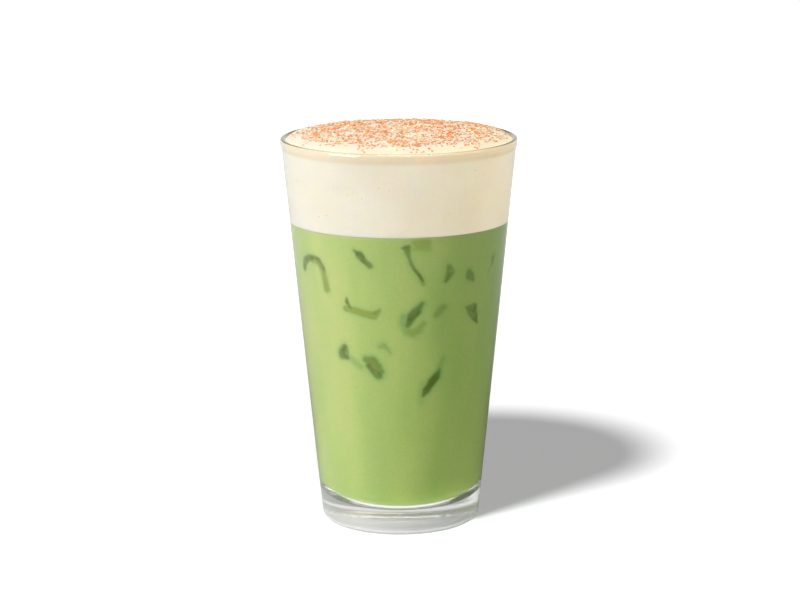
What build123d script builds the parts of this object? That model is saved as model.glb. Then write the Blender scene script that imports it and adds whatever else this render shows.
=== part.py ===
from build123d import *

import os

# Iced matcha latte: a tapered mixing glass of green matcha milk under a thick cap of cream foam.
# The glass is a body of revolution standing on the ring of its foot. The origin is the centre of
# the foot on the table plane and +Z is the axis of the glass. All sizes are in millimetres.

# Glass, outside
rim_diameter = 88.9  # widest, across the rim bead
glass_height = 147.0  # table to lip
foot_diameter = 59.0  # outer cone carried down to the table plane
heel_radius = 4.2  # rounding between the wall and the foot
bead_height = 3.8  # slightly thicker band under the lip
bead_flare = 1.6  # height over which the wall swells out into the bead
bead_proud = 0.15  # how far the bead stands out from the wall cone
lip_radius = 0.8  # rounding of both edges of the lip

# Glass, inside and underside
rim_wall = 1.6  # wall at the lip, without the bead
foot_wall = 6.0  # wall at the level of the floor
floor_thickness = 8.3  # base of the glass on the axis
corner_radius = 14.0  # bowl-like rounding between the wall and the floor
foot_ring = 2.8  # flat ring that the glass stands on
punt_depth = 1.3  # shallow hollow inside that ring

# Drink
foam_depth = 31.3  # lip down to where the foam meets the matcha
foam_edge_drop = 1.0  # lip down to where the foam leaves the wall
foam_crown = 2.5  # how far the middle of the foam stands above the lip
foam_shoulder_in = 5.5  # from the wall in to where the plump edge joins the flat dome
foam_shoulder_rise = 1.6  # height of that shoulder above the lip
film = 0.05  # clearance between the drink and the glass

rim_radius = rim_diameter / 2
wall_top_radius = rim_radius - bead_proud
lip_inner_radius = wall_top_radius - rim_wall
lip_round = min(lip_radius, 0.48 * (rim_radius - lip_inner_radius))
foot_radius = foot_diameter / 2
punt_radius = foot_radius - heel_radius - foot_ring
matcha_level = glass_height - foam_depth


def wall_cone(z):
    """Outer radius of the plain wall at height z, leaving out the heel and the bead."""
    return foot_radius + (wall_top_radius - foot_radius) * z / glass_height


floor_radius = wall_cone(floor_thickness) - foot_wall


def cavity(z):
    """Inner radius of the glass at height z, between the floor and the lip."""
    share = (z - floor_thickness) / (glass_height - floor_thickness)
    return floor_radius + (lip_inner_radius - floor_radius) * share


# The glass: foot ring, heel, conical wall, rim bead, bowl-ended cavity and a dished underside
with BuildPart() as glass:
    with BuildSketch(Plane.XZ):
        with BuildLine():
            bead_start = glass_height - bead_height
            TangentArc((0, punt_depth), (punt_radius, 0), tangent=(1, 0))
            FilletPolyline(
                (punt_radius, 0),
                (foot_radius, 0),
                (wall_cone(bead_start), bead_start),
                (rim_radius, bead_start + bead_flare),
                (rim_radius, glass_height),
                (lip_inner_radius, glass_height),
                (floor_radius, floor_thickness),
                (0, floor_thickness),
                radius=(heel_radius, bead_flare, bead_flare, lip_round, lip_round, corner_radius),
            )
            Line((0, floor_thickness), (0, punt_depth))
        make_face()
    revolve(axis=Axis.Z)

# The matcha milk: fills the bowl and the cone from just above the floor up to the foam
with BuildPart() as matcha_milk:
    with BuildSketch(Plane.XZ):
        with BuildLine():
            matcha_floor = floor_thickness + film
            FilletPolyline(
                (0, matcha_level),
                (cavity(matcha_level) - film, matcha_level),
                (cavity(matcha_floor) - film, matcha_floor),
                (0, matcha_floor),
                radius=(0, corner_radius - film),
            )
            Line((0, matcha_floor), (0, matcha_level))
        make_face()
    revolve(axis=Axis.Z)

# The cream foam: rests on the matcha, follows the wall and swells above the lip in a flat dome
with BuildPart() as cream_foam:
    with BuildSketch(Plane.XZ):
        with BuildLine():
            foam_edge = (cavity(glass_height - foam_edge_drop) - film, glass_height - foam_edge_drop)
            foam_top = (0, glass_height + foam_crown)
            shoulder = (foam_edge[0] - foam_shoulder_in, glass_height + foam_shoulder_rise)
            Polyline(
                foam_top,
                (0, matcha_level),
                (cavity(matcha_level) - film, matcha_level),
                foam_edge,
            )
            dome = TangentArc(foam_top, shoulder, tangent=(1, 0))
            TangentArc(shoulder, foam_edge, tangent=dome % 1)
        make_face()
    revolve(axis=Axis.Z)

glass.part.label = "glass"
matcha_milk.part.label = "matcha_milk"
cream_foam.part.label = "cream_foam"

os.makedirs("parts", exist_ok=True)
export_step(glass.part, "parts/glass.step")
export_step(matcha_milk.part, "parts/matcha_milk.step")
export_step(cream_foam.part, "parts/cream_foam.step")
for piece in (glass, matcha_milk, cream_foam):
    print(piece.part.label, round(piece.part.volume / 1000, 1), "ml")
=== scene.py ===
import math

import bmesh
import bpy
import numpy as np
from mathutils import Euler, Matrix, Vector
from mathutils.noise import noise


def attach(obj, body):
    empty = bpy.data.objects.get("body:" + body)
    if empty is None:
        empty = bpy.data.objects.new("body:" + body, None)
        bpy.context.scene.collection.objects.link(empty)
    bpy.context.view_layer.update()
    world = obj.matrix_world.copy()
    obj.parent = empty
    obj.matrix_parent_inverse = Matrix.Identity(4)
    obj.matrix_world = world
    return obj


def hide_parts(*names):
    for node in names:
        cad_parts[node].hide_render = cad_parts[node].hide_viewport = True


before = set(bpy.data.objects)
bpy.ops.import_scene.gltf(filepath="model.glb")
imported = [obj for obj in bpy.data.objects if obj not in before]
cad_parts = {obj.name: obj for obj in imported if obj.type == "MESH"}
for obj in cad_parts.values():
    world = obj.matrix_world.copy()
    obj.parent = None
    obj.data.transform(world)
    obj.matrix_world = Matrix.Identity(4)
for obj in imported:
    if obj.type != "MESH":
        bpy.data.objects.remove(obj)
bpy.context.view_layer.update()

mm = 0.001
scene = bpy.context.scene
print("frame loaded:", sorted(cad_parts))


def fromHex(text):  # sRGB hex to the linear colour that the shaders take
    channels = [int(text[i:i + 2], 16) / 255 for i in (1, 3, 5)]
    return tuple(c / 12.92 if c <= 0.04045 else ((c + 0.055) / 1.055) ** 2.4 for c in channels) + (1.0,)


def addNode(tree, kind, settings=None, links=None):  # adds one node, sets it and wires its inputs
    node = tree.nodes.new(kind)
    for key, value in (settings or {}).items():
        if isinstance(key, int) or key in node.inputs:
            node.inputs[key].default_value = value
        else:
            setattr(node, key, value)
    for key, source in (links or {}).items():
        tree.links.new(source, node.inputs[key])
    return node


def newMaterial(name):
    material = bpy.data.materials.new(name)
    material.use_nodes = True
    material.node_tree.nodes.clear()
    return material, material.node_tree


def setRamp(node, stops):  # stops: (position, hex)
    ramp = node.color_ramp
    while len(ramp.elements) < len(stops):
        ramp.elements.new(0.5)
    for element, (position, colour) in zip(ramp.elements, stops):
        element.position, element.color = position, fromHex(colour)
    return node


def newTree(name, sockets):  # sockets: (name, kind), the geometry goes in and out by itself
    tree = bpy.data.node_groups.new(name, "GeometryNodeTree")
    tree.interface.new_socket("Geometry", in_out="INPUT", socket_type="NodeSocketGeometry")
    for label, kind in sockets:
        tree.interface.new_socket(label, in_out="INPUT", socket_type="NodeSocket" + kind)
    tree.interface.new_socket("Geometry", in_out="OUTPUT", socket_type="NodeSocketGeometry")
    return tree, addNode(tree, "NodeGroupInput").outputs


def closeTree(tree, geometry, finish):  # every tree ends in Realize Instances and Set Material
    realize = addNode(tree, "GeometryNodeRealizeInstances", links={"Geometry": geometry})
    last = addNode(tree, "GeometryNodeSetMaterial",
                   links={"Geometry": realize.outputs[0], "Material": finish})
    addNode(tree, "NodeGroupOutput", links={"Geometry": last.outputs[0]})


def runTree(name, mesh, tree, values):  # runs a tree on a mesh and keeps the result as a plain mesh
    source = bpy.data.objects.new(name + "Source", mesh)
    scene.collection.objects.link(source)
    modifier = source.modifiers.new("build", "NODES")
    modifier.node_group = tree
    sockets = {s.name: s.identifier for s in tree.interface.items_tree if s.in_out == "INPUT"}
    for label, value in values.items():
        modifier[sockets[label]] = value
    evaluated = source.evaluated_get(bpy.context.evaluated_depsgraph_get())
    made = bpy.data.meshes.new_from_object(evaluated)
    made.name = name
    bpy.data.objects.remove(source)
    piece = bpy.data.objects.new(name, made)
    scene.collection.objects.link(piece)
    return piece


def volumeOf(piece):
    work = bmesh.new()
    work.from_mesh(piece.data)
    volume, loose = work.calc_volume(signed=True), sum(not e.is_manifold for e in work.edges)
    work.free()
    return volume, loose


def latheTree():  # turns a profile round the axis
    tree, given = newTree("lathe", [("Turns", "Int"), ("Finish", "Material")])
    line = addNode(tree, "GeometryNodeMeshToCurve", links={"Mesh": given["Geometry"]})
    offset = addNode(tree, "GeometryNodeTransform",
                     {"Translation": (-0.02, 0, 0), "Scale": (1, -1, 1)},
                     {"Geometry": line.outputs[0]})  # the sweep circle below has this radius
    circle = addNode(tree, "GeometryNodeCurvePrimitiveCircle", {"mode": "RADIUS", "Radius": 0.02},
                     {"Resolution": given["Turns"]})
    upright = addNode(tree, "GeometryNodeSetCurveNormal", {"mode": "Z_UP"},
                      {"Curve": circle.outputs["Curve"]})
    swept = addNode(tree, "GeometryNodeCurveToMesh",
                    links={"Curve": upright.outputs[0], "Profile Curve": offset.outputs[0]})
    welded = addNode(tree, "GeometryNodeMergeByDistance", {"Distance": 0.5e-6},
                     {"Geometry": swept.outputs[0]})  # closes the poles on the axis
    smooth = addNode(tree, "GeometryNodeSetShadeSmooth", {"Shade Smooth": True},
                     {"Geometry": welded.outputs[0]})
    closeTree(tree, smooth.outputs[0], given["Finish"])
    return tree


def rounded(corners, arcStep):  # corners: (radius, height, rounding) in mm; gives (radius, height)
    path = [corners[0][:2]]
    for before, here, after in zip(corners, corners[1:], corners[2:]):
        if not here[2]:
            path.append(here[:2])
            continue
        corner, turn = Vector(here[:2]), here[2]
        a, b = (Vector(before[:2]) - corner).normalized(), (Vector(after[:2]) - corner).normalized()
        half = a.angle(b) / 2
        centre = corner + (a + b).normalized() * turn / math.sin(half)
        start, end = corner + a * turn / math.tan(half) - centre, corner + b * turn / math.tan(half) - centre
        sweep = start.angle(end)
        count = max(4, math.ceil(sweep * turn / arcStep))
        for i in range(count + 1):
            t = i / count
            spoke = (start * math.sin((1 - t) * sweep) + end * math.sin(t * sweep)) / math.sin(sweep)
            path.append(tuple(centre + spoke))
    return path + [corners[-1][:2]]


def filled(path, step):  # adds points to long runs, so that smooth shading stays even
    result = [path[0]]
    for (r0, z0), (r1, z1) in zip(path, path[1:]):
        count = max(1, math.ceil(math.dist((r0, z0), (r1, z1)) / step))
        for i in range(1, count + 1):
            result.append((r0 + (r1 - r0) * i / count, z0 + (z1 - z0) * i / count))
    return result


def profileMesh(name, path):  # path: (radius, height) in mm
    mesh = bpy.data.meshes.new(name)
    mesh.from_pydata([(r * mm, z * mm, 0) for r, z in path], [(i, i + 1) for i in range(len(path) - 1)], [])
    return mesh


def tangentArc(start, heading, end, count):  # arc that leaves start along heading and reaches end
    (r0, z0), (hr, hz), (r1, z1) = start, heading, end
    nr, nz = -hz, hr
    dr, dz = r1 - r0, z1 - z0
    radius = (dr * dr + dz * dz) / (2 * (dr * nr + dz * nz))
    centre = (r0 + nr * radius, z0 + nz * radius)
    first = math.atan2(z0 - centre[1], r0 - centre[0])
    sweep = math.remainder(math.atan2(z1 - centre[1], r1 - centre[0]) - first, 2 * math.pi)
    points = [(centre[0] + abs(radius) * math.cos(first + sweep * i / count),
               centre[1] + abs(radius) * math.sin(first + sweep * i / count)) for i in range(1, count + 1)]
    sign = 1 if radius > 0 else -1
    return points, (-math.sin(first + sweep) * sign, math.cos(first + sweep) * sign)


lathe = latheTree()


# The pint glass. Lengths are in mm.
pint = {
    "rimRadius": 44.45, "height": 147.0, "footRadius": 29.5,
    "heelRounding": 4.2, "footRing": 2.8, "puntDepth": 1.3,
    "beadHeight": 3.8, "beadFlare": 1.6, "beadProud": 0.15,
    "rimWall": 1.6, "footWall": 6.0, "floor": 8.3, "bowlRounding": 14.0, "lipRounding": 0.78,
    "turns": 320, "arcStep": 0.3, "longStep": 4.0, "puntParts": 16,  # how finely it is drawn
    "scuffFull": 5.0, "scuffGone": 11.0,  # heights between which the wear of the foot fades out
    "scuffRough": 0.16, "scuffMilky": 0.3,  # how rough and how milky that wear is
    "shadedBand": 5.0,  # how far down from the lip the painted shade band reaches: a darker warm tint for the cream seen in shade through the thick glass
    "lipShadeIn": (0.75, 0.4), "lipShadeDown": (1.05, 0.9),  # from the rim and the lip, where the painted brown shade sets in
}
wallTop = pint["rimRadius"] - pint["beadProud"]
lipInner = wallTop - pint["rimWall"]


def outerWall(z):
    return pint["footRadius"] + (wallTop - pint["footRadius"]) * z / pint["height"]


floorRadius = outerWall(pint["floor"]) - pint["footWall"]


def innerWall(z):
    return floorRadius + (lipInner - floorRadius) * (z - pint["floor"]) / (pint["height"] - pint["floor"])


def pressedGlass():
    # Soda-lime glass, pressed in a mould and fire polished: clear and glossy, faintly wavy from the
    # mould. Thin walls look colourless, and the thick foot looks pale grey because light crosses
    # a lot of glass there.
    material, tree = newMaterial("pressedSodaLimeGlass")
    place = addNode(tree, "ShaderNodeTexCoord")
    waves = addNode(tree, "ShaderNodeTexNoise", {"Scale": 55.0, "Detail": 1.0},
                    {"Vector": place.outputs["Object"]})  # mould waves about 18 mm long
    bump = addNode(tree, "ShaderNodeBump", {"Strength": 0.05, "Distance": 0.0006},
                   {"Height": waves.outputs["Fac"]})
    wear = addNode(tree, "ShaderNodeTexNoise", {"Scale": 900.0, "Detail": 2.0},
                   {"Vector": place.outputs["Object"]})
    rough = addNode(tree, "ShaderNodeMapRange",
                    {"From Min": 0.55, "From Max": 0.8, "To Min": 0.0, "To Max": 0.03},
                    {"Value": wear.outputs["Fac"]})  # fine wiping marks
    height = addNode(tree, "ShaderNodeSeparateXYZ", links={0: place.outputs["Object"]})
    scuffed = addNode(tree, "ShaderNodeMapRange",
                      {"interpolation_type": "SMOOTHSTEP", "From Min": pint["scuffFull"] * mm,
                       "From Max": pint["scuffGone"] * mm, "To Min": 1.0, "To Max": 0.0},
                      {"Value": height.outputs["Z"]})  # years of washing leave the foot slightly milky
    dull = addNode(tree, "ShaderNodeMath", {"operation": "MULTIPLY_ADD", 1: pint["scuffRough"]},
                   {0: scuffed.outputs["Result"], 2: rough.outputs["Result"]})
    through = addNode(tree, "ShaderNodeMath",
                      {"operation": "MULTIPLY_ADD", 1: -pint["scuffMilky"], 2: 1.0},
                      {0: scuffed.outputs["Result"]})
    upper = addNode(tree, "ShaderNodeMapRange",
                    {"From Min": (pint["height"] - pint["shadedBand"]) * mm, "From Max": pint["height"] * mm},
                    {"Value": height.outputs["Z"]})
    # Painted shade: the thicker band under the lip gets a darker warm tint, standing in for the cream's tone
    # and shade seen through it. The top and the inner side of the lip get a painted brown shade, standing in
    # for what little light is left after a long way through the wall.
    bandShade = setRamp(addNode(tree, "ShaderNodeValToRGB", links={"Fac": upper.outputs["Result"]}),
                  [(0.1, "#FBFDFC"), (0.33, "#F3E6D2"), (0.8, "#F1E3CD"), (0.9, "#F6EEE0")])
    level = addNode(tree, "ShaderNodeVectorMath", {"operation": "MULTIPLY", 1: (1, 1, 0)},
                    {0: place.outputs["Object"]})
    reach = addNode(tree, "ShaderNodeVectorMath", {"operation": "LENGTH"}, {0: level.outputs[0]})
    inner = addNode(tree, "ShaderNodeMapRange",
                    {"From Min": (pint["rimRadius"] - pint["lipShadeIn"][0]) * mm,
                     "From Max": (pint["rimRadius"] - pint["lipShadeIn"][1]) * mm,
                     "To Min": 1.0, "To Max": 0.0}, {"Value": reach.outputs["Value"]})
    above = addNode(tree, "ShaderNodeMapRange",
                    {"From Min": (pint["height"] - pint["lipShadeDown"][0]) * mm,
                     "From Max": (pint["height"] - pint["lipShadeDown"][1]) * mm},
                    {"Value": height.outputs["Z"]})
    lipShade = addNode(tree, "ShaderNodeMath", {"operation": "MULTIPLY"},
                    {0: inner.outputs["Result"], 1: above.outputs["Result"]})
    side = addNode(tree, "ShaderNodeNewGeometry")  # light that leaves from within the wall is untinted
    # the painted shade band's tint, given only on the way in
    bandTint = addNode(tree, "ShaderNodeMix", {"data_type": "RGBA", 7: fromHex("#FBFDFC")},
                   {0: side.outputs["Backfacing"], 6: bandShade.outputs["Color"]})
    # painted shade: the top and the inner side of the lip are tinted brown
    lipShaded = addNode(tree, "ShaderNodeMix", {"data_type": "RGBA", 7: fromHex("#958B69")},
                  {0: lipShade.outputs[0], 6: bandTint.outputs[2]})
    body = addNode(tree, "ShaderNodeBsdfPrincipled",
                   {"IOR": 1.52, "Specular IOR Level": 0.5},
                   {"Base Color": lipShaded.outputs[2], "Roughness": dull.outputs[0],
                    "Transmission Weight": through.outputs[0], "Normal": bump.outputs["Normal"]})
    clear = addNode(tree, "ShaderNodeBsdfTransparent", {"Color": fromHex("#F6F9F7")})
    path = addNode(tree, "ShaderNodeLightPath")
    lets = addNode(tree, "ShaderNodeMath", {"operation": "MAXIMUM"},
                   {0: path.outputs["Is Shadow Ray"], 1: path.outputs["Is Diffuse Ray"]})
    both = addNode(tree, "ShaderNodeMixShader",
                   links={0: lets.outputs[0], 1: body.outputs[0], 2: clear.outputs[0]})
    depth = addNode(tree, "ShaderNodeVolumeAbsorption", {"Color": fromHex("#D9D9D9"), "Density": 5.5})
    addNode(tree, "ShaderNodeOutputMaterial",
            links={"Surface": both.outputs[0], "Volume": depth.outputs[0]})
    return material


beadStart = pint["height"] - pint["beadHeight"]
puntRadius = pint["footRadius"] - pint["heelRounding"] - pint["footRing"]
punt, _ = tangentArc((0, pint["puntDepth"]), (1, 0), (puntRadius, 0), pint["puntParts"])
glassProfile = filled(rounded([
    (0, pint["floor"], 0),
    (floorRadius, pint["floor"], pint["bowlRounding"]),
    (lipInner, pint["height"], pint["lipRounding"]),
    (pint["rimRadius"], pint["height"], pint["lipRounding"]),
    (pint["rimRadius"], beadStart + pint["beadFlare"], pint["beadFlare"]),
    (outerWall(beadStart), beadStart, pint["beadFlare"]),
    (pint["footRadius"], 0, pint["heelRounding"]),
    (puntRadius, 0, 0),
], pint["arcStep"]), pint["longStep"]) + punt[-2::-1] + [(0, pint["puntDepth"])]
glass = runTree("glass_body", profileMesh("glassProfile", glassProfile), lathe,
                {"Turns": pint["turns"], "Finish": pressedGlass()})
print("glass:", len(glass.data.polygons), "faces, volume and open edges", volumeOf(glass))


# Matcha milk fills the glass up to the foam. Ice presses on the wall from inside: there the milk
# film is thin and the ice shows through, darkened with painted shade for the pocket it makes. Lengths are in
# mm.
drink = {
    "level": 115.7, "intoWall": 0.12,  # how far the drink reaches into the glass, so no air shows
    "turns": 470, "arcStep": 0.8, "fineRow": 0.5, "coarseRow": 2.2, "fineFrom": 52.0, "rings": 16,
    "bleedDepth": 1.1, "bleed": 0.12,  # how far down and how much foam mixes into the top
    "litBandFull": 1.4, "litBandGone": 2.4, "litBand": 0.9,  # painted highlight: a pale band just above the floor of the glass, for the bright band the thick foot shows
    "spread": 0.14, "edgeWobble": 0.28, "wobbleSize": 3.2, "haloShadeReach": 2.6,  # edges of the ice marks, and how far their painted shade halo reaches
}

# Each stroke: how dark its painted shade, how yellow and clear, how much painted shade halo, softness in mm,
# then the points (azimuth in degrees from the front, positive to the right; height in mm; half width in mm).
iceStrokes = [
    # the rounded ends of cubes at the left, under the foam
    (1.0, 0.4, 0.4, 0.6, [(-66, 100.5, 0.9), (-64, 103.5, 1.3), (-60, 105.0, 1.2), (-55, 105.5, 0.8)]),
    (0.9, 0.5, 0.4, 0.5, [(-55, 106.0, 0.6), (-50, 105.0, 0.8), (-47.5, 103.0, 0.7), (-46.5, 101.0, 0.4)]),
    (0.2, 1.0, 0.5, 0.5, [(-57, 104.5, 0.8), (-50.5, 104.0, 0.9), (-47.5, 101.5, 1.0), (-46, 94.5, 1.2)]),
    (1.0, 0.0, 0.5, 0.6, [(-25, 110.5, 0.4), (-22, 109.0, 1.3), (-19.5, 107.0, 1.0)]),
    (0.95, 0.2, 0.5, 0.6, [(-19.5, 107.0, 0.8), (-16.5, 105.0, 1.0)]),
    (0.15, 1.0, 0.4, 0.4, [(-33, 88.0, 1.0), (-27, 87.5, 1.2), (-15.5, 86.0, 1.3), (-12, 88.0, 0.4)]),
    (0.9, 0.2, 0.2, 0.5, [(-32, 92.0, 0.2), (-32, 90.5, 0.6), (-30, 88.5, 0.4)]),
    (0.4, 0.0, 0.2, 0.5, [(-15, 87.0, 0.4), (-11, 89.0, 0.2)]),
    # a long edge and a clear face in the middle, against the foam
    (0.75, 0.0, 0.3, 0.5, [(1.5, 112.0, 0.2), (3.5, 112.0, 0.9), (5, 112.5, 0.6)]),
    (0.85, 0.0, 0.6, 0.35,
     [(4, 111.5, 1.0), (6, 107.0, 0.4), (8, 104.0, 0.3), (11, 101.5, 0.5), (13, 99.5, 0.4)]),
    (0.3, 0.6, 0.0, 0.7, [(11.5, 101.5, 0.3), (13.5, 98.0, 0.5)]),
    (0.0, 0.75, 0.2, 0.8, [(8, 114.0, 1.0), (11, 113.0, 1.9), (14.5, 113.5, 1.7)]),
    (0.0, 0.55, 0.2, 0.8, [(7.5, 111.5, 0.7), (16, 111.5, 0.9)]),
    # three small corners at the right
    (0.6, 0.2, 0.3, 0.6, [(28.5, 104.0, 0.9), (29.5, 102.0, 1.6), (28, 100.0, 1.1), (26, 98.5, 0.3)]),
    (0.75, 0.0, 0.2, 0.6, [(28.5, 101.0, 0.9), (27, 98.5, 0.4)]),
    (0.75, 0.0, 0.4, 0.8, [(42.5, 101.0, 1.0), (43.5, 99.5, 1.5), (45.5, 98.0, 0.6)]),
    (0.6, 0.0, 0.2, 0.8, [(63.5, 104.5, 0.8), (63, 102.0, 0.4)]),
    (0.2, 0.0, 0.1, 0.9, [(61.5, 101.0, 0.3), (59.5, 99.0, 0.2)]),
    # a sharp corner pressed flat against the wall
    (0.85, 0.0, 0.3, 0.45, [(44.5, 87.0, 1.1), (49, 87.0, 1.4), (50.5, 84.5, 1.1), (52.5, 81.5, 0.4)]),
    (0.85, 0.0, 0.3, 0.45, [(42.5, 87.5, 0.3), (46.5, 85.5, 1.4), (50, 83.0, 1.1), (53.5, 80.5, 0.1)]),
    # the dark edge in the middle with its pale hollow, and a faint one beside it
    (0.95, 0.0, 1.0, 0.6, [(13, 90.5, 0.6), (10.5, 88.0, 1.3), (7, 85.5, 1.5), (4.5, 82.5, 0.7)]),
    (0.12, 0.0, 0.9, 1.6, [(2.5, 85.5, 0.7), (2.5, 83.0, 0.9), (4.5, 80.0, 0.6)]),
    (0.1, 0.6, 0.6, 1.0, [(4.5, 80.5, 0.4), (8, 79.5, 1.3), (11.5, 80.5, 1.0), (14, 83.0, 0.5)]),
    (0.35, 0.25, 0.3, 1.0, [(26.5, 88.5, 1.0), (24.5, 87.5, 1.3), (22, 86.0, 0.8)]),
    # lower down: two corners of one cube at the left, and a long edge at the right
    (0.95, 0.3, 0.8, 0.7, [(-36, 73.0, 0.9), (-38.5, 71.0, 1.2), (-38.5, 69.5, 1.2), (-35, 69.0, 0.6)]),
    (0.5, 0.6, 0.2, 0.6, [(-35.5, 72.0, 1.0), (-35.5, 70.5, 1.0)]),
    (0.15, 0.0, 0.6, 1.2, [(-32.5, 69.0, 0.5), (-29.5, 67.5, 0.6), (-25.5, 66.0, 0.6)]),
    (0.45, 0.0, 0.4, 0.8, [(-12.5, 74.0, 0.4), (-10, 74.5, 0.9), (-8, 73.5, 0.6), (-6, 72.0, 0.1)]),
    (0.65, 0.8, 0.9, 0.8, [(-21.5, 69.0, 1.0), (-17.5, 68.0, 1.8), (-15.5, 66.0, 1.9)]),
    (0.95, 0.1, 1.0, 0.7, [(-20, 66.5, 0.7), (-16.5, 64.5, 1.2), (-14, 63.0, 1.3)]),
    (0.7, 0.0, 0.8, 0.7, [(-13, 67.0, 0.5), (-11.5, 64.5, 0.7)]),
    (1.0, 0.0, 0.9, 0.6,
     [(26, 64.5, 0.3), (23.5, 62.0, 1.2), (21, 60.0, 1.4), (17.5, 57.0, 1.1), (15.5, 55.0, 0.3)]),
    (0.35, 0.0, 0.3, 1.2, [(25, 65.0, 0.5), (28.5, 69.0, 0.3)]),
    (0.1, 0.0, 0.5, 1.4, [(15.5, 59.0, 0.5), (14, 56.0, 0.6), (14.5, 52.5, 0.4)]),
]
allStrokes = len(iceStrokes)
# Where the strokes lie: (turn in degrees, lift in mm, 1 as it is or -1 mirrored, first, up to).
icePlacings = [(0, 0.0, 1, 0, allStrokes), (176, -3.0, 1, 0, allStrokes), (121, 4.0, 1, 3, 8),
               (108, -6.0, -1, 20, 23), (-142, 5.0, 1, 13, 16), (-100, -7.0, 1, 24, 31)]


def matchaMilk():
    # Stone-ground green tea whisked into milk: opaque, soft green, matt. The eye sees slow drifts of
    # hue from the pour, the ice behind a thin film darkened with painted shade, and no highlight of its own.
    # Seen through glass at a flat angle it turns to a mirror, because glass bends light more than milk does.
    material, tree = newMaterial("whiskedMatchaMilk")
    place = addNode(tree, "ShaderNodeTexCoord")
    drift = addNode(tree, "ShaderNodeMapping", {"Scale": (1.0, 1.0, 0.22)},
                    {"Vector": place.outputs["Object"]})
    pour = addNode(tree, "ShaderNodeTexNoise", {"Scale": 70.0, "Detail": 2.0, "Roughness": 0.45},
                   {"Vector": drift.outputs[0]})  # drifts about 14 mm wide and 60 mm tall
    hue = setRamp(addNode(tree, "ShaderNodeValToRGB", links={"Fac": pour.outputs["Fac"]}),
                  [(0.34, "#A5C164"), (0.5, "#ABC667"), (0.66, "#B3C86C")])
    powder = addNode(tree, "ShaderNodeTexNoise", {"Scale": 1400.0, "Detail": 1.0},
                     {"Vector": place.outputs["Object"]})  # tea grit, drawn at 0.7 mm so that it shows
    grit = addNode(tree, "ShaderNodeMapRange",
                   {"From Min": 0.3, "From Max": 0.7, "To Min": 0.965, "To Max": 1.035},
                   {"Value": powder.outputs["Fac"]})
    gritty = addNode(tree, "ShaderNodeVectorMath", {"operation": "SCALE"},
                     {0: hue.outputs[0], "Scale": grit.outputs["Result"]})
    # painted shade of the ice marks: red is the dark, green the clear ice, blue the halo
    marks = addNode(tree, "ShaderNodeAttribute", {"attribute_name": "iceMarkShade"})
    split = addNode(tree, "ShaderNodeSeparateColor", links={"Color": marks.outputs["Color"]})
    haloShaded = addNode(tree, "ShaderNodeMix",
                     {"data_type": "RGBA", "blend_type": "MULTIPLY", 7: fromHex("#CDE6E4")},
                     {0: split.outputs["Blue"], 6: gritty.outputs[0]})
    cleared = addNode(tree, "ShaderNodeMix", {"data_type": "RGBA", 7: fromHex("#92AA45")},
                      {0: split.outputs["Green"], 6: haloShaded.outputs[2]})
    cloud = addNode(tree, "ShaderNodeTexNoise", {"Scale": 300.0, "Detail": 1.0},
                    {"Vector": place.outputs["Object"]})
    patchy = addNode(tree, "ShaderNodeMapRange",
                     {"From Min": 0.35, "From Max": 0.65, "To Min": 0.68, "To Max": 1.1},
                     {"Value": cloud.outputs["Fac"]})  # the film over the ice varies every 3 mm or so
    iceShade = addNode(tree, "ShaderNodeMath", {"operation": "MULTIPLY"},
                  {0: split.outputs["Red"], 1: patchy.outputs["Result"]})
    # painted shade: the milk darkens over the ice where the film is thin
    wetted = addNode(tree, "ShaderNodeMix", {"data_type": "RGBA", 7: fromHex("#627A28")},
                     {0: iceShade.outputs[0], 6: cleared.outputs[2]})
    height = addNode(tree, "ShaderNodeSeparateXYZ", links={0: place.outputs["Object"]})
    blend = addNode(tree, "ShaderNodeMapRange",
                    {"From Min": (drink["level"] - drink["bleedDepth"]) * mm,
                     "From Max": drink["level"] * mm, "To Min": 0.0, "To Max": drink["bleed"]},
                    {"Value": height.outputs["Z"]})  # foam bleeds a little into the top millimetre
    topped = addNode(tree, "ShaderNodeMix", {"data_type": "RGBA", 7: fromHex("#DFE0AE")},
                     {0: blend.outputs["Result"], 6: wetted.outputs[2]})
    litBottom = addNode(tree, "ShaderNodeMapRange",
                     {"From Min": (pint["floor"] + drink["litBandFull"]) * mm,
                      "From Max": (pint["floor"] + drink["litBandGone"]) * mm,
                      "To Min": drink["litBand"], "To Max": 0.0},
                     {"Value": height.outputs["Z"]})  # painted highlight: the milk turns pale just above the floor of the glass
    bottomLit = addNode(tree, "ShaderNodeMix", {"data_type": "RGBA", 7: fromHex("#F0E7DF")},
                     {0: litBottom.outputs["Result"], 6: topped.outputs[2]})
    body = addNode(tree, "ShaderNodeBsdfPrincipled",
                   {"Roughness": 0.65, "IOR": 1.35, "Specular IOR Level": 0.0, "Subsurface Weight": 0.6,
                    "Subsurface Scale": 0.003, "Subsurface Radius": (0.5, 1.0, 0.25)},
                   {"Base Color": bottomLit.outputs[2]})
    mirror = addNode(tree, "ShaderNodeBsdfGlossy", {"Color": (1, 1, 1, 1), "Roughness": 0.02})
    bend = addNode(tree, "ShaderNodeFresnel", {"IOR": 0.888})  # milk's 1.35 over glass's 1.52
    both = addNode(tree, "ShaderNodeMixShader",
                   links={0: bend.outputs[0], 1: body.outputs[0], 2: mirror.outputs[0]})
    addNode(tree, "ShaderNodeOutputMaterial", links={"Surface": both.outputs[0]})
    return material


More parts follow.
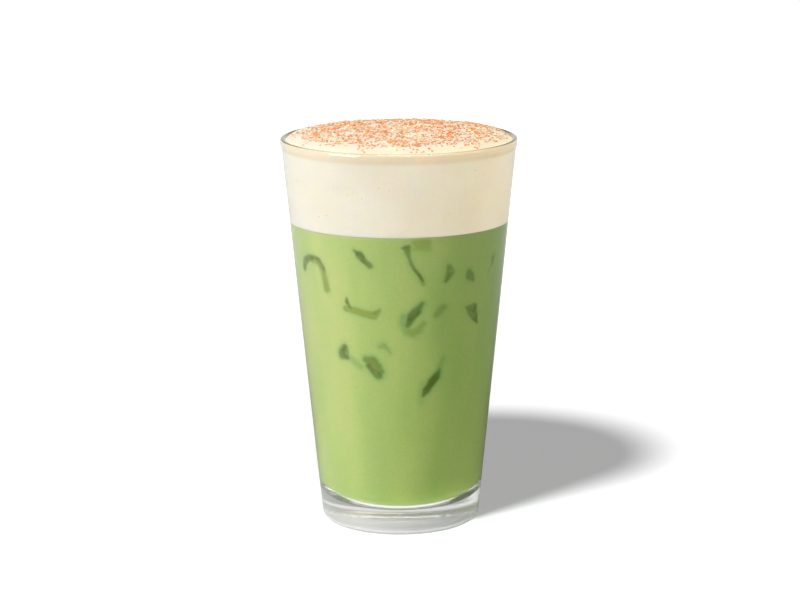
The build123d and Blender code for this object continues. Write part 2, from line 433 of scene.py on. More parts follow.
into = drink["intoWall"]
milkFloor = pint["floor"] - into
lowerWall = rounded([
    (0, milkFloor, 0),
    (innerWall(milkFloor) + into, milkFloor, pint["bowlRounding"]),
    (innerWall(drink["fineFrom"]) + into, drink["fineFrom"], 0),
], drink["arcStep"])
crisp = 0.04  # a row this close to a corner keeps it sharp under smooth shading
milkEdge = innerWall(drink["level"]) + into
upperWall = [lowerWall[-1], (innerWall(drink["level"] - crisp) + into, drink["level"] - crisp)]
milkProfile = filled(lowerWall, drink["coarseRow"]) + filled(upperWall, drink["fineRow"])[1:]
milkProfile += [(milkEdge, drink["level"]), (milkEdge - crisp, drink["level"])]
milkProfile += [(r * milkEdge / drink["rings"], drink["level"]) for r in range(drink["rings"] - 1, -1, -1)]
milk = runTree("matcha_milk_body", profileMesh("milkProfile", milkProfile[::-1]), lathe,
               {"Turns": drink["turns"], "Finish": matchaMilk()})
print("milk:", len(milk.data.polygons), "faces, volume and open edges", volumeOf(milk))


def paintIce(mesh):  # writes the strokes to a colour attribute: painted shade, clear, painted shade halo
    places = np.empty(len(mesh.vertices) * 3)
    mesh.vertices.foreach_get("co", places)
    places = places.reshape(-1, 3) / mm
    azimuth = np.degrees(np.arctan2(places[:, 0], -places[:, 1]))
    height = places[:, 2]
    wall = np.hypot(places[:, 0], places[:, 1]) > innerWall(height) - 1  # the side, not the top or bottom
    wobble = np.array([noise(Vector(p) / drink["wobbleSize"]) for p in places]) * drink["edgeWobble"]
    touch = np.zeros((len(places), 4))
    for turn, lift, flip, first, last in icePlacings:
        for shadeDepth, clear, haloShade, soft, points in iceStrokes[first:last]:
            near = np.full(len(places), np.inf)
            for (a0, z0, w0), (a1, z1, w1) in zip(points, points[1:]):
                a0, a1 = a0 * flip + turn, a1 * flip + turn
                arc = np.radians(1) * innerWall((z0 + z1) / 2 + lift)
                across = (azimuth - a0 + 180) % 360 - 180
                du, dv = (a1 - a0) * arc, z1 - z0
                u, v = across * arc, height - z0 - lift
                t = np.clip((u * du + v * dv) / (du * du + dv * dv), 0, 1)
                near = np.minimum(near, np.hypot(u - t * du, v - t * dv) - (w0 + (w1 - w0) * t))
            near = near + wobble - drink["spread"]
            fill = np.clip(0.5 - near / (2 * soft), 0, 1)
            fill = fill * fill * (3 - 2 * fill) * wall
            # a halo of painted shade round each mark
            glow = np.clip(1 - near / drink["haloShadeReach"], 0, 1) ** 2 * wall
            touch[:, 0] = np.maximum(touch[:, 0], fill * shadeDepth)
            touch[:, 1] = np.maximum(touch[:, 1], fill * clear)
            touch[:, 2] = np.maximum(touch[:, 2], glow * haloShade)
    touch[:, 3] = 1
    layer = mesh.attributes.new("iceMarkShade", "FLOAT_COLOR", "POINT")
    layer.data.foreach_set("color", touch.ravel())


paintIce(milk.data)
print("milk: ice marks painted from", len(iceStrokes), "strokes")


# The ice itself, sunk in the milk: moulded cubes with worn edges. All but the middle one have a corner
# or an edge near the wall, about where the milk shows a mark. Lengths are in mm.
cubes = {
    "side": 23.0, "bevel": 2.4, "melt": 0.5, "meltSize": 9.0, "wallGap": 0.2, "floorGap": 3.0, "topGap": 1.0,
    # (azimuth in degrees, distance from the axis, height, then three turns in degrees)
    "places": [
        (-42, 23.5, 98.5, (18, 24, 8)), (24, 24.0, 101.0, (30, -14, 40)), (78, 24.0, 99.0, (12, 30, -20)),
        (138, 24.0, 100.0, (-24, 16, 12)), (-160, 24.5, 97.5, (8, -28, 30)),
        (-98, 24.0, 101.0, (26, 10, -36)),
        (5, 0.0, 90.0, (38, 30, 0)), (-22, 20.5, 76.0, (-16, 32, 22)), (44, 21.0, 79.0, (34, 8, -14)),
        (118, 21.0, 76.0, (14, -32, 26)), (-128, 21.0, 77.0, (-30, 18, 44)), (22, 17.5, 57.0, (22, -26, 10)),
        (-150, 17.0, 55.0, (28, 20, -30)),
    ],
}


def freezerIce():
    # Tap-water ice from a tray: clear with cloudy veins, and wet outside.
    material, tree = newMaterial("freezerIce")
    place = addNode(tree, "ShaderNodeTexCoord")
    cloud = addNode(tree, "ShaderNodeTexNoise", {"Scale": 160.0, "Detail": 3.0},
                    {"Vector": place.outputs["Object"]})  # cloudy veins about 6 mm apart
    tint = setRamp(addNode(tree, "ShaderNodeValToRGB", links={"Fac": cloud.outputs["Fac"]}),
                   [(0.4, "#EAF3EE"), (0.65, "#FBFDFC")])
    rough = addNode(tree, "ShaderNodeMapRange", {"To Min": 0.03, "To Max": 0.25},
                    {"Value": cloud.outputs["Fac"]})
    body = addNode(tree, "ShaderNodeBsdfPrincipled", {"IOR": 1.31, "Transmission Weight": 0.9},
                   {"Base Color": tint.outputs[0], "Roughness": rough.outputs["Result"]})
    addNode(tree, "ShaderNodeOutputMaterial", links={"Surface": body.outputs[0]})
    return material


def iceMesh():
    work = bmesh.new()
    for azimuth, out, height, turns in cubes["places"]:
        part = bmesh.new()
        bmesh.ops.create_cube(part, size=cubes["side"])
        bmesh.ops.bevel(part, geom=part.edges[:], offset=cubes["bevel"], segments=3, profile=0.6,
                        affect="EDGES")
        longEdges = [e for e in part.edges if e.calc_length() > cubes["side"] / 2]
        bmesh.ops.subdivide_edges(part, edges=longEdges, cuts=5, use_grid_fill=True)
        turn = Euler([math.radians(a) for a in turns]).to_matrix()
        way = math.radians(azimuth)
        centre = Vector((math.sin(way) * out, -math.cos(way) * out, height))
        for vertex in part.verts:
            spot = vertex.co.copy()
            vertex.co += spot.normalized() * cubes["melt"] * (noise(spot / cubes["meltSize"] + centre) - 0.5)
            vertex.co = turn @ vertex.co + centre
            vertex.co.z = max(vertex.co.z, pint["floor"] + cubes["floorGap"])
            vertex.co.z = min(vertex.co.z, drink["level"] - cubes["topGap"])
            reach = math.hypot(vertex.co.x, vertex.co.y)
            limit = innerWall(vertex.co.z) - cubes["wallGap"]
            if reach > limit:
                vertex.co.x *= limit / reach
                vertex.co.y *= limit / reach
            vertex.co *= mm
        bmesh.ops.recalc_face_normals(part, faces=part.faces[:])
        single = bpy.data.meshes.new("iceCube")
        part.to_mesh(single)
        part.free()
        work.from_mesh(single)
        bpy.data.meshes.remove(single)
    for face in work.faces:
        face.smooth = True
    mesh = bpy.data.meshes.new("ice_cubes_sunk")
    work.to_mesh(mesh)
    work.free()
    return mesh


ice = bpy.data.objects.new("ice_cubes_sunk", iceMesh())
ice.data.materials.append(freezerIce())
scene.collection.objects.link(ice)
print("ice:", len(cubes["places"]), "cubes,", len(ice.data.polygons), "faces, volume and open edges",
      volumeOf(ice))


# Cream foam: a plump cap that meets the wall just under the lip. Lengths are in mm.
cap = {
    "edgeDrop": 1.0, "crown": 2.5, "shoulderIn": 5.5, "shoulderRise": 1.6, "intoMilk": 0.05, "wetFade": 0.05,
    "turns": 300, "sideStep": 1.5, "baseStep": 3.0, "domeParts": 40, "plumpParts": 14,
    "swell": 0.35, "swellSize": 16.0, "swellShift": (3.1, 7.7, 0),
    "litTopFrom": 0.9, "litTopFull": 1.9,  # heights above the lip between which the foam is painted whiter, for the light that falls on its top
}
edgeHeight = pint["height"] - cap["edgeDrop"]
edge = (innerWall(edgeHeight) + into, edgeHeight)
shoulder = (edge[0] - cap["shoulderIn"], pint["height"] + cap["shoulderRise"])
dome, heading = tangentArc((0, pint["height"] + cap["crown"]), (1, 0), shoulder, cap["domeParts"])
plump, _ = tangentArc(dome[-1], heading, edge, cap["plumpParts"])
foamTop = [(0, pint["height"] + cap["crown"])] + dome + plump
foamBase = drink["level"] - cap["intoMilk"]
baseEdge = innerWall(foamBase) + into
sideRows = (edgeHeight - crisp, foamBase + crisp)
foamSide = filled([(innerWall(z) + into, z) for z in sideRows], cap["sideStep"])
foamSide += filled([(baseEdge, foamBase), (baseEdge - crisp, foamBase), (0, foamBase)], cap["baseStep"])


def creamFoam():
    # Cold foam: cream and milk whipped until the bubbles are too fine to see, so it looks like matt
    # ivory velvet. Light sinks in and comes out warmer, which keeps its shaded side bright.
    material, tree = newMaterial("whippedCreamFoam")
    place = addNode(tree, "ShaderNodeTexCoord")
    fold = addNode(tree, "ShaderNodeTexNoise", {"Scale": 48.0, "Detail": 2.0},
                   {"Vector": place.outputs["Object"]})  # folds from the whisk, about 20 mm
    tone = setRamp(addNode(tree, "ShaderNodeValToRGB", links={"Fac": fold.outputs["Fac"]}),
                   [(0.35, "#E6DFD0"), (0.65, "#EAE4D9")])
    bubbles = addNode(tree, "ShaderNodeTexVoronoi", {"Scale": 1100.0},
                      {"Vector": place.outputs["Object"]})  # micro bubbles, drawn at 0.9 mm so that they show
    # painted shade: each bubble pit is a little darker in its middle
    pitShade = addNode(tree, "ShaderNodeMapRange", {"From Max": 0.5, "To Min": 0.975, "To Max": 1.01},
                   {"Value": bubbles.outputs["Distance"]})
    pitShaded = addNode(tree, "ShaderNodeVectorMath", {"operation": "SCALE"},
                     {0: tone.outputs[0], "Scale": pitShade.outputs["Result"]})
    bump = addNode(tree, "ShaderNodeBump", {"Strength": 0.12, "Distance": 0.0002},
                   {"Height": bubbles.outputs["Distance"]})
    height = addNode(tree, "ShaderNodeSeparateXYZ", links={0: place.outputs["Object"]})
    litTop = addNode(tree, "ShaderNodeMapRange",
                  {"From Min": (pint["height"] + cap["litTopFrom"]) * mm,
                   "From Max": (pint["height"] + cap["litTopFull"]) * mm},
                  {"Value": height.outputs["Z"]})
    litTopTone = addNode(tree, "ShaderNodeMix", {"data_type": "RGBA", 7: fromHex("#F9F4E8")},
                    {0: litTop.outputs["Result"], 6: pitShaded.outputs[0]})  # painted light: the top of the foam is whiter, as light falls on it from above
    body = addNode(tree, "ShaderNodeBsdfPrincipled",
                   {"Roughness": 0.6, "IOR": 1.35, "Specular IOR Level": 0.12,
                    "Subsurface Weight": 1.0, "Subsurface Scale": 0.0015,
                    "Subsurface Radius": (1.0, 0.72, 0.36)},
                   {"Base Color": litTopTone.outputs[2], "Normal": bump.outputs["Normal"]})
    mirror = addNode(tree, "ShaderNodeBsdfGlossy", {"Color": (1, 1, 1, 1), "Roughness": 0.03})
    bend = addNode(tree, "ShaderNodeFresnel", {"IOR": 0.888})  # cream's 1.35 over glass's 1.52
    wetted = addNode(tree, "ShaderNodeMapRange",
                     {"From Min": edgeHeight * mm, "From Max": (edgeHeight + cap["wetFade"]) * mm,
                      "To Min": 1.0, "To Max": 0.0},
                     {"Value": height.outputs["Z"]})  # only where the foam wets the glass
    share = addNode(tree, "ShaderNodeMath", {"operation": "MULTIPLY"},
                    {0: bend.outputs[0], 1: wetted.outputs["Result"]})
    both = addNode(tree, "ShaderNodeMixShader",
                   links={0: share.outputs[0], 1: body.outputs[0], 2: mirror.outputs[0]})
    addNode(tree, "ShaderNodeOutputMaterial", links={"Surface": both.outputs[0]})
    return material


def swellTop(mesh):  # slow hand-poured waves on the dome, none at the wall
    for vertex in mesh.vertices:
        reach = math.hypot(vertex.co.x, vertex.co.y) / mm
        if vertex.co.z / mm > edgeHeight - 0.01 and reach < edge[0]:
            fade = min(1, (edge[0] - reach) / cap["shoulderIn"])
            wave = noise(vertex.co / mm / cap["swellSize"] + Vector(cap["swellShift"]))
            vertex.co.z += cap["swell"] * fade * wave * mm


foam = runTree("cream_foam_body", profileMesh("foamProfile", foamTop + foamSide), lathe,
               {"Turns": cap["turns"], "Finish": creamFoam()})
swellTop(foam.data)
print("foam:", len(foam.data.polygons), "faces, volume and open edges", volumeOf(foam))


# Cinnamon: ground bark shaken over the foam, and a few grains stirred into it that show at the wall.
# Density is in grains per square metre, lengths are in mm, and tilt is in degrees.
dusting = {
    "density": 0.55e6, "reach": 43.6, "fade": 9.0, "centre": (2.0, 0.0, 148), "squeeze": 1.03,
    "clump": 2.6, "grainLeast": (0.75, 0.5, 0.25), "grainMost": (1.7, 0.85, 0.35), "tilt": 20.0,
    "seed": 11, "turns": 160,
}
stirred = {
    "density": 1.1e4, "reach": 900.0, "fade": 1.0, "centre": (0, 0, 132), "squeeze": 1.0,
    "clump": 6.0, "grainLeast": (0.3, 0.25, 0.2), "grainMost": (0.5, 0.4, 0.3), "tilt": 10.0,
    "seed": 4, "turns": 120, "lowest": 119.0, "highest": 144.0,
}


def groundCinnamon():
    # Ground cinnamon bark: matt flakes from light tan to rusty orange, each a little different, paler
    # where cream has soaked into them.
    material, tree = newMaterial("groundCinnamonBark")
    tone = addNode(tree, "ShaderNodeAttribute", {"attribute_name": "grainTone"})
    place = addNode(tree, "ShaderNodeTexCoord")
    soak = addNode(tree, "ShaderNodeTexNoise", {"Scale": 1500.0, "Detail": 1.0},
                   {"Vector": place.outputs["Object"]})  # patches about 0.7 mm
    mixed = addNode(tree, "ShaderNodeMath", {"operation": "MULTIPLY_ADD", 1: 0.5, 2: -0.25},
                    {0: soak.outputs["Fac"]})
    shade = addNode(tree, "ShaderNodeMath", {"operation": "ADD"},
                    {0: tone.outputs["Fac"], 1: mixed.outputs[0]})
    colour = setRamp(addNode(tree, "ShaderNodeValToRGB", links={"Fac": shade.outputs[0]}),
                     [(0.05, "#E97B28"), (0.45, "#F59C48"), (0.8, "#FABA76"), (1.0, "#FDDAAA")])
    body = addNode(tree, "ShaderNodeBsdfPrincipled", {"Roughness": 0.85, "Specular IOR Level": 0.15},
                   {"Base Color": colour.outputs[0]})
    addNode(tree, "ShaderNodeOutputMaterial", links={"Surface": body.outputs[0]})
    return material


def grainTree():  # strews small flat grains over a surface
    tree, given = newTree("strewnGrains", [
        ("Density", "Float"), ("Reach", "Float"), ("Fade", "Float"), ("Centre", "Vector"),
        ("Squeeze", "Float"), ("Clump", "Float"), ("Grain least", "Vector"), ("Grain most", "Vector"),
        ("Tilt", "Float"), ("Seed", "Int"), ("Finish", "Material")])
    spot = addNode(tree, "GeometryNodeInputPosition")
    shifted = addNode(tree, "ShaderNodeVectorMath", {"operation": "SUBTRACT"},
                      {0: spot.outputs[0], 1: given["Centre"]})
    oval = addNode(tree, "ShaderNodeCombineXYZ", {"X": 1.0}, {"Y": given["Squeeze"]})  # less deep than wide
    level = addNode(tree, "ShaderNodeVectorMath", {"operation": "MULTIPLY"},
                    {0: shifted.outputs[0], 1: oval.outputs[0]})
    apart = addNode(tree, "ShaderNodeVectorMath", {"operation": "LENGTH"}, {0: level.outputs[0]})
    ragged = addNode(tree, "ShaderNodeTexNoise", {"Scale": 110.0, "Detail": 1.0}, {"Vector": spot.outputs[0]})
    inner = addNode(tree, "ShaderNodeMath", {"operation": "SUBTRACT"}, {0: given["Reach"], 1: given["Fade"]})
    loose = addNode(tree, "ShaderNodeMath", {"operation": "MULTIPLY_ADD", 1: 0.012, 2: -0.006},
                    {0: ragged.outputs["Fac"]})  # the edge of the dust wanders by some millimetres
    wander = addNode(tree, "ShaderNodeMath", {"operation": "ADD"},
                     {0: apart.outputs["Value"], 1: loose.outputs[0]})
    inside = addNode(tree, "ShaderNodeMapRange", {"To Min": 1.0, "To Max": 0.0},
                     {"Value": wander.outputs[0], "From Min": inner.outputs[0], "From Max": given["Reach"]})
    step = addNode(tree, "ShaderNodeMath", {"operation": "DIVIDE", 0: 1.0}, {1: given["Clump"]})
    clumps = addNode(tree, "ShaderNodeTexNoise", {"Detail": 1.0},
                     {"Vector": spot.outputs[0], "Scale": step.outputs[0]})
    thick = addNode(tree, "ShaderNodeMapRange",
                    {"From Min": 0.36, "From Max": 0.62, "To Min": 0.25, "To Max": 1.7},
                    {"Value": clumps.outputs["Fac"]})  # grains gather in clumps with thinner places between
    share = addNode(tree, "ShaderNodeMath", {"operation": "MULTIPLY"},
                    {0: inside.outputs["Result"], 1: thick.outputs["Result"]})
    density = addNode(tree, "ShaderNodeMath", {"operation": "MULTIPLY"},
                      {0: share.outputs[0], 1: given["Density"]})
    points = addNode(tree, "GeometryNodeDistributePointsOnFaces", {"distribute_method": "RANDOM"},
                     {"Mesh": given["Geometry"], "Density": density.outputs[0], "Seed": given["Seed"]})
    grain = addNode(tree, "GeometryNodeMeshIcoSphere", {"Radius": 0.5, "Subdivisions": 1})
    size = addNode(tree, "FunctionNodeRandomValue", {"data_type": "FLOAT_VECTOR"},
                   {"Min": given["Grain least"], "Max": given["Grain most"], "Seed": given["Seed"]})
    placed = addNode(tree, "GeometryNodeInstanceOnPoints",
                     links={"Points": points.outputs["Points"], "Instance": grain.outputs[0],
                            "Rotation": points.outputs["Rotation"], "Scale": size.outputs[0]})
    back = addNode(tree, "ShaderNodeMath", {"operation": "MULTIPLY", 1: -1.0}, {0: given["Tilt"]})
    least = addNode(tree, "ShaderNodeCombineXYZ", links={"X": back.outputs[0], "Y": back.outputs[0]})
    most = addNode(tree, "ShaderNodeCombineXYZ", {"Z": math.tau}, {"X": given["Tilt"], "Y": given["Tilt"]})
    other = addNode(tree, "ShaderNodeMath", {"operation": "ADD", 1: 1.0}, {0: given["Seed"]})
    turn = addNode(tree, "FunctionNodeRandomValue", {"data_type": "FLOAT_VECTOR"},
                   {"Min": least.outputs[0], "Max": most.outputs[0], "Seed": other.outputs[0]})
    turned = addNode(tree, "GeometryNodeRotateInstances",
                     links={"Instances": placed.outputs[0], "Rotation": turn.outputs[0]})
    third = addNode(tree, "ShaderNodeMath", {"operation": "ADD", 1: 2.0}, {0: given["Seed"]})
    tone = addNode(tree, "FunctionNodeRandomValue", {"data_type": "FLOAT"}, {"Seed": third.outputs[0]})
    toned = addNode(tree, "GeometryNodeStoreNamedAttribute",
                    {"data_type": "FLOAT", "domain": "INSTANCE", "Name": "grainTone"},
                    {"Geometry": turned.outputs[0], "Value": tone.outputs[1]})
    solid = addNode(tree, "GeometryNodeRealizeInstances", links={"Geometry": toned.outputs[0]})
    rough = addNode(tree, "ShaderNodeTexNoise", {"Scale": 2200.0, "Detail": 0.0}, {"Vector": spot.outputs[0]})
    centred = addNode(tree, "ShaderNodeVectorMath", {"operation": "SUBTRACT", 1: (0.5, 0.5, 0.5)},
                      {0: rough.outputs["Color"]})
    nudge = addNode(tree, "ShaderNodeVectorMath", {"operation": "SCALE", "Scale": 0.00055},
                    {0: centred.outputs[0]})  # up to a quarter of a millimetre, so that no two grains match
    broken = addNode(tree, "GeometryNodeSetPosition",
                     links={"Geometry": solid.outputs[0], "Offset": nudge.outputs[0]})
    closeTree(tree, broken.outputs[0], given["Finish"])
    return tree


strew, bark = grainTree(), groundCinnamon()


def grains(name, ground, values):
    return runTree(name, ground, strew, {
        "Density": values["density"], "Reach": values["reach"] * mm, "Fade": values["fade"] * mm,
        "Centre": [v * mm for v in values["centre"]], "Squeeze": values["squeeze"],
        "Clump": values["clump"] * mm, "Grain least": [v * mm for v in values["grainLeast"]],
        "Grain most": [v * mm for v in values["grainMost"]], "Tilt": math.radians(values["tilt"]),
        "Seed": values["seed"], "Finish": bark})


def groundMesh(name, path, turns):  # a bare surface for the grains to lie on
    bare = runTree(name, profileMesh(name + "Profile", path), lathe, {"Turns": turns, "Finish": bark})
    mesh = bare.data
    bpy.data.objects.remove(bare)
    mesh.materials.clear()
    return mesh


topGround = groundMesh("dustGround", foamTop[:-4], dusting["turns"])  # not the last bit down to the wall
swellTop(topGround)
dust = grains("cinnamon_dust", topGround, dusting)
sideLine = [(innerWall(z) + into, z) for z in (stirred["highest"], stirred["lowest"])]
specks = grains("cinnamon_specks", groundMesh("speckGround", sideLine, stirred["turns"]), stirred)
grainFaces = 20  # of the ball that each grain is made from
for where, piece in (("on top", dust), ("in the foam", specks)):
    count = len(piece.data.polygons) // grainFaces
    print("cinnamon:", count, "grains", where, "volume and open edges", volumeOf(piece))


for piece, slot in ((glass, "glass"), (milk, "matcha_milk"), (foam, "cream_foam")):
    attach(piece, "root")
    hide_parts(slot)  # the CAD nodes have the names of their slots
for piece, slot in ((ice, "glass"), (dust, "cream_foam"), (specks, "cream_foam")):
    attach(piece, "root")
print("pieces ride on root")


# Soft white studio: a soft box on the left, another overhead that doesn't reach the milk, and a near
# lamp that only draws the shadow on the floor. Cream and milk carry light through themselves to their
# far side, and foamGlow and milkGlow stand in for that. The white sweep behind shows in the glass, the
# dark ceiling in its lip, where a brown shade is painted too. Lengths are in metres.
studio = {
    "floorHalf": 6.0, "floorDiffuse": 0.47, "floorGrain": 0.004, "floorLift": 0.33, "fill": 0.13,
    "footFull": 0.027, "footGone": 0.033, "footLift": 0.75, "footDiffuse": 0.7,
    "sweepFrom": 0.17, "sweepTo": 0.6, "sweepLift": 0.6,
    "mirrorAzimuth": -80, "mirrorFocus": 3.5, "mirrorBright": 0.72, "mirrorDark": 0.12,
    "ceiling": 0.25, "frontWall": 0.45,
    "middle": (0, 0, 0.08),  # where the boxes point
    "boxes": [  # (name, azimuth, elevation, distance, side, watts, colour)
        ("softBox", -54, 16, 0.9, 0.5, 7.1, "#FFFAF5"),
        ("topBox", 50, 82, 0.8, 0.5, 4.15, "#FFF6DE"),
        ("foamGlow", 66, 8, 0.6, 0.5, 2.9, "#FFECC6"),
        ("milkGlow", 66, 8, 0.6, 0.5, 0.42, "#FAFFF2"),
        ("milkCool", -60, 8, 0.6, 0.5, 2.3, "#9400FF"),  # not a real lamp: violet, it pales the lit green
    ],
    "spotAzimuth": -21.1, "spotElevation": 65.1, "spotDistance": 0.44, "spotPower": 72.0,
    "spotRadius": 0.023,
}


def direction(azimuth, elevation):  # azimuth 0 is the front, positive to the right
    a, e = math.radians(azimuth), math.radians(elevation)
    return Vector((math.sin(a) * math.cos(e), -math.cos(a) * math.cos(e), math.sin(e)))


def whiteFloor():
    # Matt white paper sweep: it keeps the shadow and reads as pure white where it is lit.
    material, tree = newMaterial("whitePaperFloor")
    place = addNode(tree, "ShaderNodeTexCoord")
    fibre = addNode(tree, "ShaderNodeTexNoise", {"Scale": 400.0, "Detail": 2.0},
                    {"Vector": place.outputs["Object"]})
    grey = addNode(tree, "ShaderNodeMapRange",
                   {"To Min": studio["floorDiffuse"] - studio["floorGrain"],
                    "To Max": studio["floorDiffuse"] + studio["floorGrain"]},
                   {"Value": fibre.outputs["Fac"]})
    paper = addNode(tree, "ShaderNodeBsdfDiffuse", links={"Color": grey.outputs["Result"]})
    path = addNode(tree, "ShaderNodeLightPath")
    apart = addNode(tree, "ShaderNodeVectorMath", {"operation": "LENGTH"}, {0: place.outputs["Object"]})
    far = addNode(tree, "ShaderNodeMapRange",
                  {"From Min": studio["sweepFrom"], "From Max": studio["sweepTo"],
                   "To Max": studio["sweepLift"]},
                  {"Value": apart.outputs["Value"]})  # the sweep is lit evenly beyond the reach of the lamp
    looked = addNode(tree, "ShaderNodeMath", {"operation": "MAXIMUM"},
                     {0: path.outputs["Is Transmission Ray"], 1: path.outputs["Is Camera Ray"]})
    even = addNode(tree, "ShaderNodeMath", {"operation": "ADD", 1: studio["floorLift"]},
                   {0: far.outputs["Result"]})
    shown = addNode(tree, "ShaderNodeMath", {"operation": "MULTIPLY"},
                    {0: even.outputs[0], 1: looked.outputs[0]})
    under = addNode(tree, "ShaderNodeMapRange",
                    {"From Min": studio["footFull"], "From Max": studio["footGone"],
                     "To Min": studio["footLift"], "To Max": 0.0},
                    {"Value": apart.outputs["Value"]})  # light that the thick foot gathers beneath itself
    within = addNode(tree, "ShaderNodeMath", {"operation": "MULTIPLY_ADD", 1: studio["footDiffuse"]},
                     {0: path.outputs["Is Diffuse Ray"], 2: path.outputs["Is Transmission Ray"]})
    lift = addNode(tree, "ShaderNodeMath", {"operation": "MULTIPLY_ADD"},
                   {0: under.outputs["Result"], 1: within.outputs[0], 2: shown.outputs[0]})
    glow = addNode(tree, "ShaderNodeEmission", links={"Strength": lift.outputs[0]})
    both = addNode(tree, "ShaderNodeAddShader", links={0: paper.outputs[0], 1: glow.outputs[0]})
    # The wall of the glass mirrors this: bright paper beside the soft box, a dark room opposite.
    around = addNode(tree, "ShaderNodeVectorMath", {"operation": "NORMALIZE"}, {0: place.outputs["Object"]})
    toward = addNode(tree, "ShaderNodeVectorMath",
                     {"operation": "DOT_PRODUCT", 1: direction(studio["mirrorAzimuth"], 0)},
                     {0: around.outputs[0]})
    half = addNode(tree, "ShaderNodeMath", {"operation": "MULTIPLY_ADD", 1: 0.5, 2: 0.5},
                   {0: toward.outputs["Value"]})
    narrow = addNode(tree, "ShaderNodeMath", {"operation": "POWER", 1: studio["mirrorFocus"]},
                     {0: half.outputs[0]})
    level = addNode(tree, "ShaderNodeMath",
                    {"operation": "MULTIPLY_ADD", 1: studio["mirrorBright"], 2: studio["mirrorDark"]},
                    {0: narrow.outputs[0]})
    total = addNode(tree, "ShaderNodeMath", {"operation": "ADD"},
                    {0: level.outputs[0], 1: far.outputs["Result"]})
    seen = addNode(tree, "ShaderNodeEmission", links={"Strength": total.outputs[0]})
    outside = addNode(tree, "ShaderNodeMath", {"operation": "SUBTRACT"},
                      {0: path.outputs["Is Glossy Ray"], 1: path.outputs["Is Transmission Ray"]})
    final = addNode(tree, "ShaderNodeMixShader",
                    links={0: outside.outputs[0], 1: both.outputs[0], 2: seen.outputs[0]})
    addNode(tree, "ShaderNodeOutputMaterial", links={"Surface": final.outputs[0]})
    return material


half = studio["floorHalf"]
floorMesh = bpy.data.meshes.new("floor")
floorMesh.from_pydata([(-half, -half, 0), (half, -half, 0), (half, half, 0), (-half, half, 0)], [],
                      [(0, 1, 2, 3)])
floor = bpy.data.objects.new("floor", floorMesh)
scene.collection.objects.link(floor)
floorMesh.materials.append(whiteFloor())

world = bpy.data.worlds.new("studio")
scene.world = world
world.use_nodes = True
tree = world.node_tree
tree.nodes.clear()
path = addNode(tree, "ShaderNodeLightPath")
way = addNode(tree, "ShaderNodeTexCoord")
axes = addNode(tree, "ShaderNodeSeparateXYZ", links={0: way.outputs["Generated"]})
ceiling = addNode(tree, "ShaderNodeMapRange",
                  {"interpolation_type": "SMOOTHSTEP", "From Min": 0.12, "From Max": 0.5,
                   "To Min": 1.0, "To Max": studio["ceiling"]},
                  {"Value": axes.outputs["Z"]})  # darker from about 7 to 30 degrees up
front = addNode(tree, "ShaderNodeMapRange",
                {"interpolation_type": "SMOOTHSTEP", "From Min": -0.5, "From Max": 0.1,
                 "To Min": studio["frontWall"], "To Max": 1.0},
                {"Value": axes.outputs["Y"]})  # the room in front of the glass is darker than the sweep
room = addNode(tree, "ShaderNodeMath", {"operation": "MULTIPLY"},
               {0: ceiling.outputs["Result"], 1: front.outputs["Result"]})
mirrored = addNode(tree, "ShaderNodeMath", {"operation": "MAXIMUM"},
                   {0: path.outputs["Is Glossy Ray"], 1: path.outputs["Is Transmission Ray"]})
lit = addNode(tree, "ShaderNodeMix", {"data_type": "FLOAT", 2: studio["fill"]},
              {0: mirrored.outputs[0], 3: room.outputs[0]})
strength = addNode(tree, "ShaderNodeMath", {"operation": "MAXIMUM"},
                   {0: path.outputs["Is Camera Ray"], 1: lit.outputs[0]})
sky = addNode(tree, "ShaderNodeBackground", {"Color": (1, 1, 1, 1)}, {"Strength": strength.outputs[0]})
addNode(tree, "ShaderNodeOutputWorld", links={"Surface": sky.outputs[0]})


def lampReach(name, pieces):  # a lamp that is given this lights only these pieces
    group = bpy.data.collections.new(name)
    for piece in pieces:
        group.objects.link(piece)
    return group


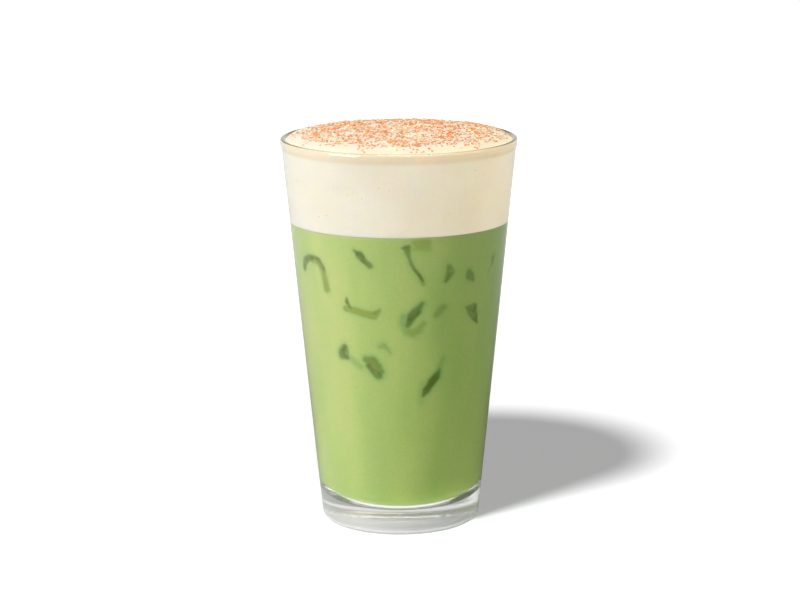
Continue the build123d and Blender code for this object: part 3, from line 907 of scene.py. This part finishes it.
floorOnly = lampReach("floorOnly", [floor])
notFloor = lampReach("notFloor", [floor])
notFloor.collection_objects[0].light_linking.link_state = "EXCLUDE"  # turned round: all but the floor
foamOnly = lampReach("foamOnly", [foam])
milkOnly = lampReach("milkOnly", [milk])
topping = lampReach("topping", [glass, foam, dust, specks])
reaches = {"softBox": notFloor, "topBox": topping, "foamGlow": foamOnly, "milkGlow": milkOnly,
           "milkCool": milkOnly}


def addLamp(name, kind, azimuth, elevation, distance, settings, reach):
    lamp = bpy.data.lights.new(name, kind)
    for key, value in settings.items():
        setattr(lamp, key, value)
    holder = bpy.data.objects.new(name, lamp)
    scene.collection.objects.link(holder)
    way = direction(azimuth, elevation)
    holder.location = Vector(studio["middle"]) + way * distance
    holder.rotation_euler = way.to_track_quat("Z", "Y").to_euler()
    holder.light_linking.receiver_collection = reach
    return holder


for name, azimuth, elevation, distance, side, power, colour in studio["boxes"]:
    addLamp(name, "AREA", azimuth, elevation, distance,
            {"shape": "SQUARE", "size": side, "energy": power, "color": fromHex(colour)[:3]}, reaches[name])
spot = addLamp("spot", "POINT", studio["spotAzimuth"], studio["spotElevation"], studio["spotDistance"],
               {"energy": studio["spotPower"], "shadow_soft_size": studio["spotRadius"]}, floorOnly)
spot.location -= Vector(studio["middle"])  # it is placed from the foot, where the shadow starts
spot.data.use_nodes = True
tree = spot.data.node_tree
tree.nodes.clear()
even = addNode(tree, "ShaderNodeLightFalloff", {"Strength": 1.0})  # no falloff, so the paper stays even
beam = addNode(tree, "ShaderNodeEmission", links={"Strength": even.outputs["Constant"]})
addNode(tree, "ShaderNodeOutputLight", links={0: beam.outputs[0]})
print("studio: floor, world and six lamps")


# Where the camera stands in metres, its turns in degrees and its lens in mm.
view = {"place": (0.00015, -1.101, 0.312), "down": 11.67, "roll": 0.29, "lens": 133.56}
lens = bpy.data.cameras.new("camera")
lens.sensor_width = 36.0
lens.lens = view["lens"]
camera = bpy.data.objects.new("camera", lens)
scene.collection.objects.link(camera)
camera.location = view["place"]
camera.rotation_euler = (Matrix.Rotation(math.radians(90 - view["down"]), 3, "X")
                         @ Matrix.Rotation(math.radians(-view["roll"]), 3, "Z")).to_euler()
scene.camera = camera
scene.view_settings.view_transform = "Standard"
scene.cycles.use_denoising = True
scene.cycles.max_bounces = 20
scene.cycles.glossy_bounces = 16  # light bounces many times inside the thick foot
scene.cycles.transmission_bounces = 16
print("camera set")
